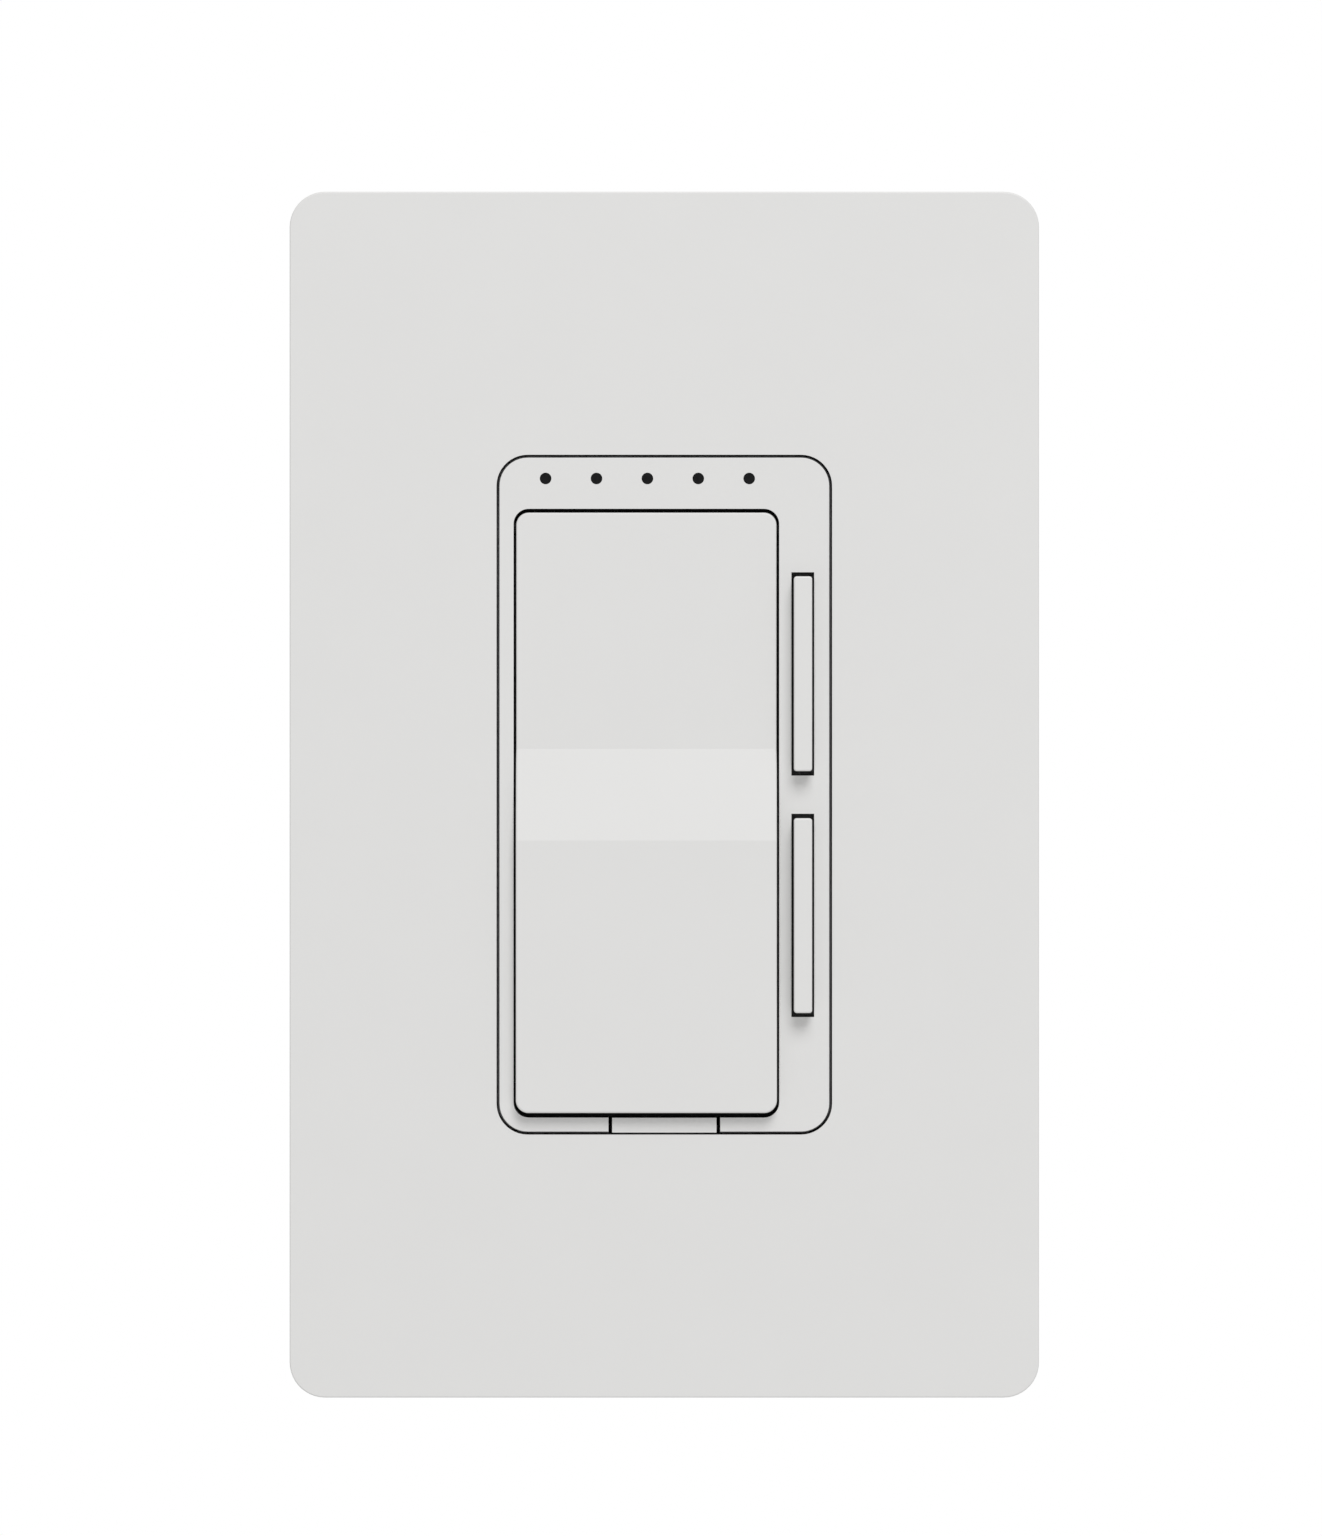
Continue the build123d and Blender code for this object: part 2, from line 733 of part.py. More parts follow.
def is_front_rim(edge):
    """Whether an edge lies on the outer rim of the paddle's face, its ramp included."""
    middle = edge @ 0.5
    on_side = min(middle.X - paddle_left, paddle_right - middle.X) < paddle_corner
    on_end = min(middle.Z - paddle_bottom, paddle_top - middle.Z) < paddle_corner
    return middle.Y < face + 0.01 and (on_side or on_end)


def press_bar(side):
    """A narrow bar with a flange that keeps it behind the bezel and a stem for its switch."""
    z = side * bar_z
    bar = slab(bar_width, bar_length, bar_corner, (bar_front, flange_front + 0.1), bar_x, z)
    bar = fillet(edges_at(bar, bar_front), bar_edge_round)
    bar += centred(bar_x, flange_width, (flange_front, flange_back), z, flange_length)
    return bar + rod(stem_radius, (flange_back - 0.1, presser_end), bar_x, z)


def bar_springs(side):
    """Two return springs behind a bar, standing on the strap."""
    y = (flange_back + spring_end_gap, strap_front - spring_end_gap)
    ends = [side * bar_z + end * bar_spring_offset for end in (-1, 1)]
    return [coil(bar_spring_radius, bar_spring_turns, y, bar_x, z) for z in ends]


def paddle_spring():
    """The return spring between the carrier and the paddle's lower half."""
    y = (paddle_front + paddle_wall + spring_end_gap, floor_front - spring_end_gap)
    z = (paddle_switch_z - paddle_rib_offset + paddle_bottom + paddle_side_wall) / 2
    return coil(paddle_spring_radius, paddle_spring_turns, y, paddle_x, z)


def light_pipe():
    """A clear comb with a tip at the front and a leg at the back for each lamp."""
    bar_y = (bezel_inside + pipe_gap, bezel_inside + pipe_gap + pipe_thickness)
    comb = centred(lamp_row_x, pipe_length, bar_y, lamp_z, pipe_height)
    for x in lamp_xs:
        comb += rod(tip_radius, (face, bar_y[0] + 0.1), x, lamp_z)
        comb += rod(pipe_leg_radius, (bar_y[1] - 0.1, lamp_front - lamp_gap), x, lamp_z)
    return comb


def led_row():
    """One small lamp behind each leg of the light pipe."""
    return [centred(x, lamp_size, (lamp_front, control_board_front), lamp_z, lamp_size) for x in lamp_xs]


# Switches

def air_gap_slider():
    """The tab that is pulled out of the bezel's bottom edge to cut the power."""
    slider = centred(0, tab_width, (face, bridge_front), tab_z, tab_thickness)
    grip_y = (face + grip_depth[0], face + grip_depth[1])
    nail_grip = centred(0, tab_width - 2, grip_y, tab_bottom, grip_height)
    return slider - nail_grip


def air_gap_bridge():
    """The copper strip on the end of the slider."""
    width = contact_spacing + contact_width
    return centred(0, width, (bridge_front, bridge_front + bridge_thickness), tab_z, tab_thickness)


def air_gap_contacts():
    """Two fixed blades that the bridge joins while the slider is in."""
    blades = []
    for side in (-1, 1):
        x = side * contact_spacing / 2
        back = contact_front + contact_thickness
        blade = centred(x, contact_width, (contact_front, back), tab_z, tab_thickness)
        blade += block((x - contact_width / 2, x + contact_width / 2), (contact_front, power_board_front),
                       (tab_top, tab_top + contact_thickness))
        blades.append(blade + centred(x, contact_width, (contact_front, back),
                                      tab_top + contact_thickness / 2, contact_thickness))
    return blades


def tact_body(x, z):
    """A tact switch's case, with a blind hole for its plunger."""
    body = centred(x, tact_size, (control_board_front - tact_height, control_board_front), z, tact_size)
    hole_y = (control_board_front - tact_height - 1, plunger_back + bar_travel + plunger_room)
    return body - rod(plunger_radius + plunger_gap, hole_y, x, z)


def tact_plunger(x, z):
    """The part of a tact switch that is pressed."""
    plunger = rod(plunger_radius, (plunger_front, plunger_back), x, z)
    return chamfer(edges_at(plunger, plunger_front), 0.15)


# Boards and what they carry

def keep_clear(y):
    """What every board leaves room for: the housing's bosses and the pocket for the ground lug."""
    clear = [rod(boss_radius + board_gap, y, x_sign * boss_x, z_sign * boss_z)
             for x_sign, z_sign in corner_signs]
    for x_sign, z_sign in corner_signs:
        clear.append(block(tuple(sorted((x_sign * boss_x, x_sign * (housing_x + 1)))), y,
                           tuple(sorted((z_sign * (boss_z - boss_radius - board_gap),
                                         z_sign * (housing_z + 1))))))
    clear.append(block((-housing_x - 1, lug_recess_x + housing_wall + board_gap), y,
                       (-lug_recess_height / 2 - housing_wall - board_gap,
                        lug_recess_height / 2 + housing_wall + board_gap)))
    return clear


def sheet(y, bottom):
    """A flat sheet that fits inside the housing, above the air-gap switch."""
    edge_x = inner_x - board_gap
    return block((-edge_x, edge_x), y, (bottom, inner_z - board_gap))


def triac_opening(y):
    """The hole that a board or sheet needs for the triac and its leads."""
    half = triac_width / 2 + insulator_margin + board_gap
    bottom = triac_bottom - 3 * triac_lead_width
    top = triac_split_z + triac_tab_height + insulator_margin + board_gap
    return block((triac_x - half, triac_x + half), y, (bottom - board_gap, top))


def control_board():
    """The low-voltage board, with its lamps and tact switches on the front."""
    y = (control_board_front, control_board_front + board_thickness)
    board = sheet(y, tab_top + board_gap + 1)
    cut = (y[0] - 1, y[1] + 1)
    for solid in keep_clear(cut):
        board -= solid
    for pin_z in header_zs():
        board -= centred(header_x, header_pin + 0.1, cut, pin_z, header_pin + 0.1)
    return board - triac_opening(cut)


def insulating_barrier():
    """The thin sheet between the control board and the mains parts."""
    y = (barrier_front, barrier_front + barrier_thickness)
    cut = (y[0] - 1, y[1] + 1)
    barrier = sheet(y, tab_top + contact_thickness + board_gap)
    for solid in keep_clear(cut):
        barrier -= solid
    for x_sign, z_sign in corner_signs:
        barrier -= rod(board_post_radius + 0.2, cut, x_sign * board_post_x, z_sign * board_post_z)
    barrier -= centred(header_x, 2 * header_pitch, cut, 0, (header_pin_count + 1) * header_pitch)
    return barrier - triac_opening(cut)


def microcontroller():
    """The control chip, with its legs along two sides."""
    front = control_board_front + board_thickness
    x, z = paddle_x + chip_place[0], chip_place[1]
    chip_front = front + chip_standoff
    chip = centred(x, chip_size, (chip_front, chip_front + chip_thickness), z, chip_size)
    leg_width, leg_depth, leg_length = chip_leg_size
    legs = []
    for side in (-1, 1):
        for i in range(chip_leg_count):
            leg_x = x + (i - (chip_leg_count - 1) / 2) * chip_leg_pitch
            leg_z = z + side * (chip_size / 2 + leg_depth)
            legs.append(centred(leg_x, leg_width, (front, front + leg_depth), leg_z, leg_length))
    return [chip] + legs


def header_zs():
    """The heights of the pins that join the two boards."""
    return [(i - (header_pin_count - 1) / 2) * header_pitch for i in range(header_pin_count)]


def header_body():
    """The plastic strip that holds the pins on the control board."""
    front = control_board_front + board_thickness
    strip = centred(header_x, header_pitch, (front, front + header_height), 0,
                    header_pin_count * header_pitch)
    for z in header_zs():
        strip -= centred(header_x, header_pin + 0.05, (front - 1, front + header_height + 1), z,
                         header_pin + 0.05)
    return strip


def header_pins():
    """Square pins from the control board to the power board."""
    return [centred(header_x, header_pin, (control_board_front, board_back + 0.8), z, header_pin)
            for z in header_zs()]


def triac():
    """The power device: a plastic body, a metal tab and three leads bent back to the power board."""
    front = insulator_thickness
    body = centred(triac_x, triac_width, (front, front + triac_body_thickness),
                   (triac_bottom + triac_split_z) / 2, triac_body_height)
    body += centred(triac_x, triac_width, (front, front + triac_tab_thickness),
                    triac_hole_z - 0.5, triac_tab_height + 1)
    body -= rod(small_screw_radius + screw_clearance, (-1, front + 5), triac_x, triac_hole_z)
    lead_y = front + triac_tab_thickness + 1
    lead_z = triac_bottom - 2 * triac_lead_width
    for i in (-1, 0, 1):
        x = triac_x + i * triac_lead_pitch
        body += centred(x, triac_lead_width, (lead_y, lead_y + triac_lead_width / 2),
                        (triac_bottom + lead_z) / 2, triac_bottom - lead_z)
        body += block((x - triac_lead_width / 2, x + triac_lead_width / 2),
                      (lead_y, board_back + 0.8), (lead_z - triac_lead_width / 2, lead_z))
        body += block((x - triac_lead_width / 2, x + triac_lead_width / 2),
                      (lead_y, lead_y + triac_lead_width / 2), (lead_z - triac_lead_width / 2, lead_z + 0.1))
    return body


def triac_insulator():
    """The thin sheet between the triac and the strap."""
    pad = block((triac_x - triac_width / 2 - insulator_margin, triac_x + triac_width / 2 + insulator_margin),
                (0, insulator_thickness),
                (triac_bottom - insulator_margin, triac_split_z + triac_tab_height + insulator_margin))
    return pad - rod(small_screw_radius + screw_clearance, (-1, 1), triac_x, triac_hole_z)


def triac_screw():
    """The screw through the triac's tab into the strap."""
    head_front = insulator_thickness + triac_tab_thickness
    head = rod(small_head_radius, (head_front, head_front + small_head_height), triac_x, triac_hole_z)
    head -= centred(triac_x, 2 * small_head_radius + 1,
                    (head_front + small_head_height - drive_depth, head_front + small_head_height + 1),
                    triac_hole_z, drive_width)
    return head + rod(small_screw_radius, (strap_front + 0.1, head_front), triac_x, triac_hole_z)


def terminal_pocket(x_sign, z_sign, extra, front):
    """A block over one terminal's pocket, grown by its wall."""
    x = tuple(sorted((x_sign * (pocket_x - extra), x_sign * (housing_x if extra else housing_x + 1))))
    half = pocket_height / 2 + extra
    back = housing_depth if extra else housing_depth + 1
    z = z_sign * terminal_z
    return block(x, (front, back), (z - half, z + half))


def power_board():
    """The mains board at the back of the housing, notched round the terminal pockets."""
    y = (power_board_front, board_back)
    cut = (y[0] - 1, y[1] + 1)
    board = sheet(y, -inner_z + board_gap)
    for x_sign, z_sign in corner_signs:
        board -= terminal_pocket(x_sign, z_sign, housing_wall + board_gap, y[0] - 1)
    for pin_z in header_zs():
        board -= centred(header_x, header_pin + 0.1, cut, pin_z, header_pin + 0.1)
    lead_z = triac_bottom - 2 * triac_lead_width - triac_lead_width / 4
    for i in (-1, 0, 1):
        board -= centred(triac_x + i * triac_lead_pitch, triac_lead_width + 0.2, cut, lead_z,
                         triac_lead_width + 0.2)
    return board


# Mains parts on the power board

def choke_core():
    """The ring of the interference choke."""
    y = (power_board_front - choke_height - winding_wire - winding_gap * 2,
         power_board_front - winding_wire - winding_gap * 2)
    return rod(choke_radius, y, 0, choke_z) - rod(choke_hole_radius, (y[0] - 1, y[1] + 1), 0, choke_z)


def choke_winding():
    """Separate turns of wire round the ring."""
    back = power_board_front - winding_gap
    inner = (choke_hole_radius - winding_gap, choke_radius + winding_gap)
    front = back - choke_height - 2 * winding_wire - 2 * winding_gap
    turns = []
    for i in range(choke_turns):
        turn = block((inner[0] - winding_wire, inner[1] + winding_wire), (front, back),
                     (-winding_wire / 2, winding_wire / 2))
        turn -= block(inner, (front + winding_wire, back - winding_wire), (-1, 1))
        turns.append(Pos(0, 0, choke_z) * Rot(0, 360 * (i + 0.5) / choke_turns, 0) * turn)
    return turns


def filter_capacitor():
    """A boxed film capacitor."""
    width, depth, height = capacitor_size
    y = (power_board_front - depth, power_board_front)
    body = centred(filter_x, width, y, -terminal_z, height)
    return fillet(body.edges().filter_by(Axis.Y), 0.6)


def bulk_capacitor():
    """An upright can with a groove near its foot."""
    x, z = board_post_x - part_x_offset, inner_z - bulk_radius - bulk_inset
    can = rod(bulk_radius, (power_board_front - bulk_height, power_board_front), x, z)
    can = fillet(edges_at(can, power_board_front - bulk_height), 0.5)
    groove_y = (power_board_front - 2.4, power_board_front - 1.8)
    groove = rod(bulk_radius + 1, groove_y, x, z) - rod(bulk_radius - 0.35, groove_y, x, z)
    return can - groove


def varistor():
    """A coated disc standing on its edge, with two leads."""
    x, z = -board_post_x + part_x_offset, -inner_z + part_inset
    y = power_board_front - varistor_radius - 1
    disc = Pos(x, y, z) * Cylinder(varistor_radius, varistor_thickness)
    disc = fillet(disc.edges(), 1.2)
    for side in (-1, 1):
        disc += rod(lead_radius, (y, power_board_front), x + side * varistor_radius / 2, z)
    return disc


def fuse():
    """A glass fuse with a metal cap at each end, lying across the board."""
    z = -inner_z + part_inset
    y = power_board_front - fuse_radius - 0.1
    x = (fuse_left, fuse_left + fuse_length)
    tube = side_rod(fuse_radius - 0.25, x, y, z)
    for end in (x[0], x[1] - fuse_cap_length):
        tube += side_rod(fuse_radius, (end, end + fuse_cap_length), y, z)
    return tube


def resistors():
    """Three resistors in a row beside the ground lug's pocket."""
    y = power_board_front - resistor_radius - 0.1
    x = (-inner_x + 1.2, -inner_x + 1.2 + resistor_length)
    group = []
    for i in (-1, 0, 1):
        z = i * resistor_pitch
        body = side_rod(resistor_radius * 0.85, x, y, z)
        for end in (x[0], x[1] - cap_length):
            body += side_rod(resistor_radius, (end, end + cap_length), y, z)
        group.append(body)
    return group


# Terminals

def terminal(x_sign, z_sign):
    """A brass plate in its pocket, with a tang that passes through the wall to the power board."""
    x = tuple(sorted((x_sign * pocket_x, x_sign * (pocket_x + terminal_thickness))))
    y = (terminal_front, terminal_front + terminal_length)
    z = z_sign * terminal_z
    plate = block(x, y, (z - terminal_height / 2, z + terminal_height / 2))
    plate -= side_rod(thread_radius + screw_clearance, (x[0] - 1, x[1] + 1), sum(y) / 2, z)
    tang_y = (terminal_front + 0.5, terminal_front + 0.5 + tang_thickness)
    inner_end = pocket_x - housing_wall - tang_thickness
    reach = tuple(sorted((x_sign * inner_end, x_sign * (pocket_x + terminal_thickness / 2))))
    plate += block(reach, tang_y, (z - tang_height / 2, z + tang_height / 2))
    leg_x = tuple(sorted((x_sign * inner_end, x_sign * (inner_end + tang_thickness - tang_gap))))
    leg_z = (z - tang_height / 2, z + tang_height / 2)
    return plate + block(leg_x, (tang_y[0], power_board_front), leg_z)


def terminal_screws():
    """The four screws that clamp the wires, entering from the sides."""
    screws = []
    y = terminal_front + terminal_length / 2
    for x_sign, z_sign in corner_signs:
        z = z_sign * terminal_z
        under_head = clamp_x + clamp_thickness
        head = side_rod(terminal_head_radius, (under_head, under_head + terminal_head_height), y, z)
        head -= block((under_head + terminal_head_height - drive_depth, under_head + 9),
                      (y - terminal_head_radius - 1, y + terminal_head_radius + 1),
                      (z - drive_width / 2, z + drive_width / 2))
        screw = head + side_rod(thread_radius, (pocket_x + screw_clearance, under_head), y, z)
        screws.append(screw if x_sign > 0 else mirror(screw, about=Plane.YZ))
    return screws


def wire_clamps():
    """The four square plates that the screws press on to the wires."""
    clamps = []
    y = (terminal_front, terminal_front + terminal_length)
    for x_sign, z_sign in corner_signs:
        x = tuple(sorted((x_sign * clamp_x, x_sign * (clamp_x + clamp_thickness))))
        z = z_sign * terminal_z
        clamp = block(x, y, (z - terminal_height / 2, z + terminal_height / 2))
        clamps.append(clamp - side_rod(thread_radius + screw_clearance, (x[0] - 1, x[1] + 1), sum(y) / 2, z))
    return clamps


# Rear housing

def lug_recess(extra):
    """The pocket in the housing's left side for the ground lug, grown by its wall."""
    half = lug_recess_height / 2 + extra
    x = (-housing_x if extra else -housing_x - 1, lug_recess_x + extra)
    front = housing_gap if extra else -1
    return block(x, (front, lug_recess_depth + extra), (-half, half))


def vents():
    """Slots through the housing's top and bottom walls."""
    y = (vent_front, vent_front + vent_length)
    slots = []
    for side in (-1, 1):
        z = side * (housing_z - housing_wall / 2)
        for i in range(vent_count):
            x = (i - (vent_count - 1) / 2) * vent_pitch
            slots.append(centred(x, vent_width, y, z, housing_wall + 1))
    return slots


def rear_housing():
    """The moulded case, with bosses for its screws, pockets for the terminals and posts for the boards."""
    outside = slab(housing_width, housing_height, housing_corner, (housing_gap, housing_depth))
    outside = fillet(edges_at(outside, housing_depth), housing_edge_round)
    case = outside - slab(2 * inner_x, 2 * inner_z, housing_corner / 2, (-1, back_wall_front))
    for x_sign, z_sign in corner_signs:
        case += rod(boss_radius, (housing_gap, boss_depth), x_sign * boss_x, z_sign * boss_z)
        case += rod(board_post_radius, (board_back + 0.05, back_wall_front + 0.1),
                    x_sign * board_post_x, z_sign * (boss_z - 3))
        case += terminal_pocket(x_sign, z_sign, housing_wall, pocket_front - housing_wall)
        post_y = (control_board_front + board_thickness + 0.05, pocket_front - housing_wall + 0.1)
        case += rod(board_post_radius, post_y, x_sign * board_post_x, z_sign * board_post_z)
    case += lug_recess(housing_wall)
    case &= outside
    case -= lug_recess(0)
    for x_sign, z_sign in corner_signs:
        case -= terminal_pocket(x_sign, z_sign, 0, pocket_front)
        case -= rod(small_screw_radius + screw_clearance, (-1, boss_depth - 1), x_sign * boss_x,
                    z_sign * boss_z)
        x = tuple(sorted((x_sign * (pocket_x - housing_wall - 1), x_sign * (pocket_x + 1))))
        z = z_sign * terminal_z
        half = tang_height / 2 + tang_gap
        case -= block(x, (terminal_front + 0.5 - tang_gap, terminal_front + 0.5 + tang_thickness + tang_gap),
                      (z - half, z + half))
    panel_width = 2 * (pocket_x - housing_wall) - panel_margin
    panel_height = housing_height - 4 * panel_margin
    case -= slab(panel_width, panel_height, 1.5, (housing_depth - panel_depth, housing_depth + 1))
    for vent in vents():
        case -= vent
    return case


def housing_screws():
    """Four screws from the strap's front into the housing's bosses."""
    screws = []
    head_front = strap_front - small_head_height
    for x_sign, z_sign in corner_signs:
        x, z = x_sign * boss_x, z_sign * boss_z
        head = rod(small_head_radius, (head_front, strap_front), x, z)
        head = slotted(head, head_front, x, z, 2 * small_head_radius + 1)
        screws.append(head + rod(small_screw_radius, (strap_front, boss_depth - 3), x, z))
    return screws


# Every node and the solid or solids in it

nodes = {
    "wallplate_cover": wallplate_cover(),
    "wallplate_frame": wallplate_frame(),
    "wallplate_screws": wallplate_screws(),
    "mounting_strap": mounting_strap(),
    "box_screws": box_screws(),
    "screw_retainers": screw_retainers(),
    "ground_screw": ground_screw(),
    "bezel": bezel(),
    "button_carrier": button_carrier(),
    "paddle": paddle(),
    "paddle_spring": paddle_spring(),
    "light_pipe": light_pipe(),
    "led_row": led_row(),
    "paddle_switch_body": tact_body(paddle_x, paddle_switch_z),
    "paddle_switch_plunger": tact_plunger(paddle_x, paddle_switch_z),
    "air_gap_slider": air_gap_slider(),
    "air_gap_bridge": air_gap_bridge(),
    "air_gap_contacts": air_gap_contacts(),
    "control_board": control_board(),
    "insulating_barrier": insulating_barrier(),
    "microcontroller": microcontroller(),
    "header_body": header_body(),
    "header_pins": header_pins(),
    "triac": triac(),
    "triac_insulator": triac_insulator(),
    "triac_screw": triac_screw(),
    "power_board": power_board(),
    "choke_core": choke_core(),
    "choke_winding": choke_winding(),
    "filter_capacitor": filter_capacitor(),
    "bulk_capacitor": bulk_capacitor(),
    "varistor": varistor(),
    "fuse": fuse(),
    "resistors": resistors(),
    "line_terminal": terminal(-1, 1),
    "load_terminal": terminal(-1, -1),
    "neutral_terminal": terminal(1, 1),
    "traveler_terminal": terminal(1, -1),
    "terminal_screws": terminal_screws(),
    "wire_clamps": wire_clamps(),
    "rear_housing": rear_housing(),
    "housing_screws": housing_screws(),
}
for direction, side in (("up", 1), ("down", -1)):
    nodes[f"dim_{direction}_bar"] = press_bar(side)
    nodes[f"dim_{direction}_springs"] = bar_springs(side)
    nodes[f"dim_{direction}_switch_body"] = tact_body(bar_x, side * bar_z)
    nodes[f"dim_{direction}_switch_plunger"] = tact_plunger(bar_x, side * bar_z)

os.makedirs("parts", exist_ok=True)
for name, pieces in nodes.items():
    export_step(Compound(children=pieces) if isinstance(pieces, list) else pieces, f"parts/{name}.step")
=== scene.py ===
from collections import namedtuple
import json
import math

import bmesh
import bpy
from mathutils import Matrix, Vector


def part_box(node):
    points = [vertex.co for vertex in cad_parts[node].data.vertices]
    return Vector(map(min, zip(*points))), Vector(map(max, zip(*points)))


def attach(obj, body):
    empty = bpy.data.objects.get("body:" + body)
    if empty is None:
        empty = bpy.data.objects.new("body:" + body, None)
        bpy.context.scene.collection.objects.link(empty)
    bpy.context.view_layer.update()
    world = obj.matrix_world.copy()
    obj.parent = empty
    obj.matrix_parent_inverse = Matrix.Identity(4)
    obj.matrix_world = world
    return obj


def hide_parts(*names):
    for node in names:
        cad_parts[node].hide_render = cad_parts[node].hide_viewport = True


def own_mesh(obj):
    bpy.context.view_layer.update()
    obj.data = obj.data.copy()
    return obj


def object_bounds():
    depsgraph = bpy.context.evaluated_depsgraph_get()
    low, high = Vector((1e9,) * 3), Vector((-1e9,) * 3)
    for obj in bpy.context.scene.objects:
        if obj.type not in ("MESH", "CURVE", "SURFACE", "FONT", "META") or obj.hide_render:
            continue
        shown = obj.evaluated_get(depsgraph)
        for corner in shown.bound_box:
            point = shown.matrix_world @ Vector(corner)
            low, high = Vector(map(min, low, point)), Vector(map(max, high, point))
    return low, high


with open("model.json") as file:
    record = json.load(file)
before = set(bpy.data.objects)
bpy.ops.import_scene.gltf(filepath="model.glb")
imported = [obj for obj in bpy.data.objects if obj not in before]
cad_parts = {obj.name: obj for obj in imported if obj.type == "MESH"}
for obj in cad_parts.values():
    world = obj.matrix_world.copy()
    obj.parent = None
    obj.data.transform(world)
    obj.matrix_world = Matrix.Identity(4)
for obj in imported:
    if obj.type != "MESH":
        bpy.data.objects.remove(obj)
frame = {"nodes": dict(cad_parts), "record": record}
cad_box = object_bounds()

MM = 0.001

# Camera and light
FIELD_HEIGHT = 0.15208          # what the picture's height covers at the face
LENS = 250.0
SENSOR = 36.0
CLIP_END = 20
VIEW_CENTRE = (-0.00033, 0.00264)
FLOOR_DROP = 0.3                # below the lowest point of the object
FLOOR_REACH = 1.0               # from the floor's middle to its sides
BACKDROP_LEVEL = 1.0
AMBIENT_LEVEL = 0.505
KEY_DIRECTION = Vector((0.16, -0.86, 0.80))
KEY_DISTANCE = 2.0
KEY_SIZE = 0.95
KEY_POWER = 22.5

# Painted shade: colour darkened in narrow gaps and beside raised parts, where shade falls
PAINTED_SHADE_REACH = 0.8 * MM
PAINTED_SHADE_SAMPLES = 8
PAINTED_SHADE_COLOUR = (0.03, 0.03, 0.03)
PAINTED_SHADE_RANGE = (0.42, 0.74)

# Thread forms of the screws
THREAD_PITCH = 0.79 * MM        # 32 threads to the inch
SMALL_THREAD_PITCH = 1.0 * MM
THREAD_DEPTH = 0.34 * MM
THREAD_STEPS = 10               # rings to each turn of thread
ROUND_STEPS = 32
THREAD_RADIUS = 1.75 * MM
SMALL_THREAD_RADIUS = 1.25 * MM

# Screw heads, sized as in the CAD, but the plate screws' are 0.02 mm smaller in radius
Head = namedtuple("Head", "radius height")
LARGE_HEAD = Head(3.4 * MM, 1.8 * MM)
SMALL_HEAD = Head(2.3 * MM, 1.2 * MM)
GROUND_HEAD = Head(3.5 * MM, 1.8 * MM)
PLATE_HEAD = Head(3.38 * MM, 2.0 * MM)

# Plain necks under the heads: radius, and how far behind the seat they end
Neck = namedtuple("Neck", "radius end")
BOX_NECK = Neck(1.3 * MM, 2.05 * MM)
PLATE_NECK = Neck(1.7 * MM, 0.3 * MM)
HOUSING_NECK = Neck(1.2 * MM, 1.7 * MM)
TERMINAL_NECK = Neck(1.5 * MM, 0.4 * MM)
GROUND_NECK = Neck(1.5 * MM, 0.3 * MM)
THREAD_START_GAP = 0.02 * MM
THREAD_END_FADE = 0.3           # share of the thread's depth left where it ends
TIP_CHAMFER = 0.5 * MM
TERMINAL_TIP_INSET = 1.6 * MM   # from a terminal's inner end out to its screw's tip
INTO_WALL = (0, 1, 0)

# Shape of the heads, as shares of their radius or height
DOME_LEVELS = 7
DOME_TOP_SHARE = 0.62
DOME_HEIGHT_SHARE = 0.45
RIM_SHARE = 0.97
DOME_RIM_HEIGHT = 0.08
SUNK_RIM_HEIGHT = 0.94
SUNK_NECK_SHARE = 0.53

# Driver recesses: a slot, or a cross with a slot through it
DRIVE_DEPTH = 0.9 * MM
DRIVE_DEPTH_SHARE = 0.6         # the most a recess takes of the head's height
SLOT_LENGTH_SHARE = 2.4
SLOT_WIDTH = 0.8 * MM
CROSS_SLOT_WIDTH = 0.75 * MM
CROSS_LENGTH_SHARE = 1.1
CROSS_WIDTH = 0.95 * MM

# Edges: which stay sharp under smooth shading, and which are softened
SHARP_ANGLE = math.radians(32)
BEVEL_ANGLE = math.radians(50)
BEVEL_SEGMENTS = 2


# Materials

def start_material(name, colour, roughness, metallic=0.0):
    """A node material, its shader and its object coordinates."""
    material = bpy.data.materials.new(name)
    material.use_nodes = True
    nodes = material.node_tree.nodes
    shader = nodes["Principled BSDF"]
    shader.inputs["Base Color"].default_value = (*colour, 1.0)
    shader.inputs["Roughness"].default_value = roughness
    shader.inputs["Metallic"].default_value = metallic
    coordinates = nodes.new("ShaderNodeTexCoord")
    return material, shader, coordinates.outputs["Object"]


def stretch(material, coordinates, scale):
    """Coordinates scaled along each axis, for grain that runs one way."""
    mapping = material.node_tree.nodes.new("ShaderNodeMapping")
    mapping.inputs["Scale"].default_value = scale
    material.node_tree.links.new(coordinates, mapping.inputs["Vector"])
    return mapping.outputs["Vector"]


def noise(material, coordinates, size, detail=3.0):
    """Smooth noise whose features are about size metres across."""
    texture = material.node_tree.nodes.new("ShaderNodeTexNoise")
    texture.inputs["Scale"].default_value = 1.0 / size
    texture.inputs["Detail"].default_value = detail
    material.node_tree.links.new(coordinates, texture.inputs["Vector"])
    return texture.outputs["Fac"]


def cells(material, coordinates, size):
    """Rounded cells about size metres across."""
    texture = material.node_tree.nodes.new("ShaderNodeTexVoronoi")
    texture.feature = "SMOOTH_F1"
    texture.inputs["Scale"].default_value = 1.0 / size
    material.node_tree.links.new(coordinates, texture.inputs["Vector"])
    return texture.outputs["Distance"]


